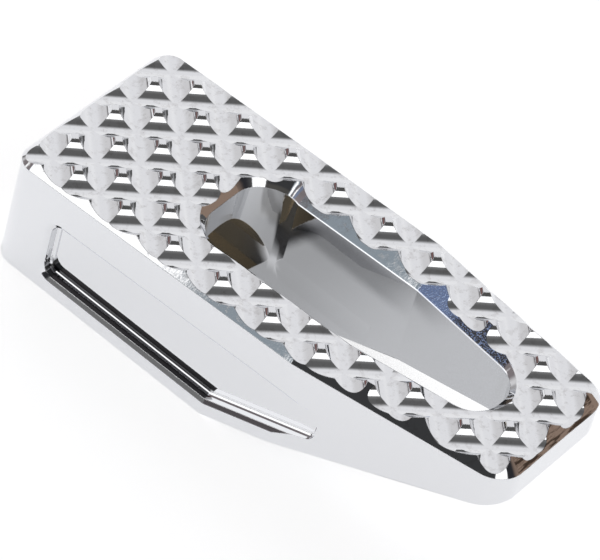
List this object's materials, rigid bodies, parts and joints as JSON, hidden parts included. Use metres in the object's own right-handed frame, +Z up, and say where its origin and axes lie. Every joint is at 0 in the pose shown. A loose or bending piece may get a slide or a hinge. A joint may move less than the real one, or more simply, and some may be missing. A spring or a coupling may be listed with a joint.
{
  "type": "rear brake pedal pad",
  "caption": "Chrome billet brake pedal pad with a cut pyramid tread, a through slot, side pockets and a round bore for the pedal's peg.",
  "frame": {"origin": "on the underside, in the middle of the four fixing holes", "axes": "+X along the pad to its narrow front end, +Y across it, +Z up from the level rear part of the underside"},
  "size_m": [0.1089, 0.044, 0.0309],
  "materials": {
    "chrome": "polished"
  },
  "bodies": {
    "root": {"pad": "chrome"}
  },
  "joints": []
}
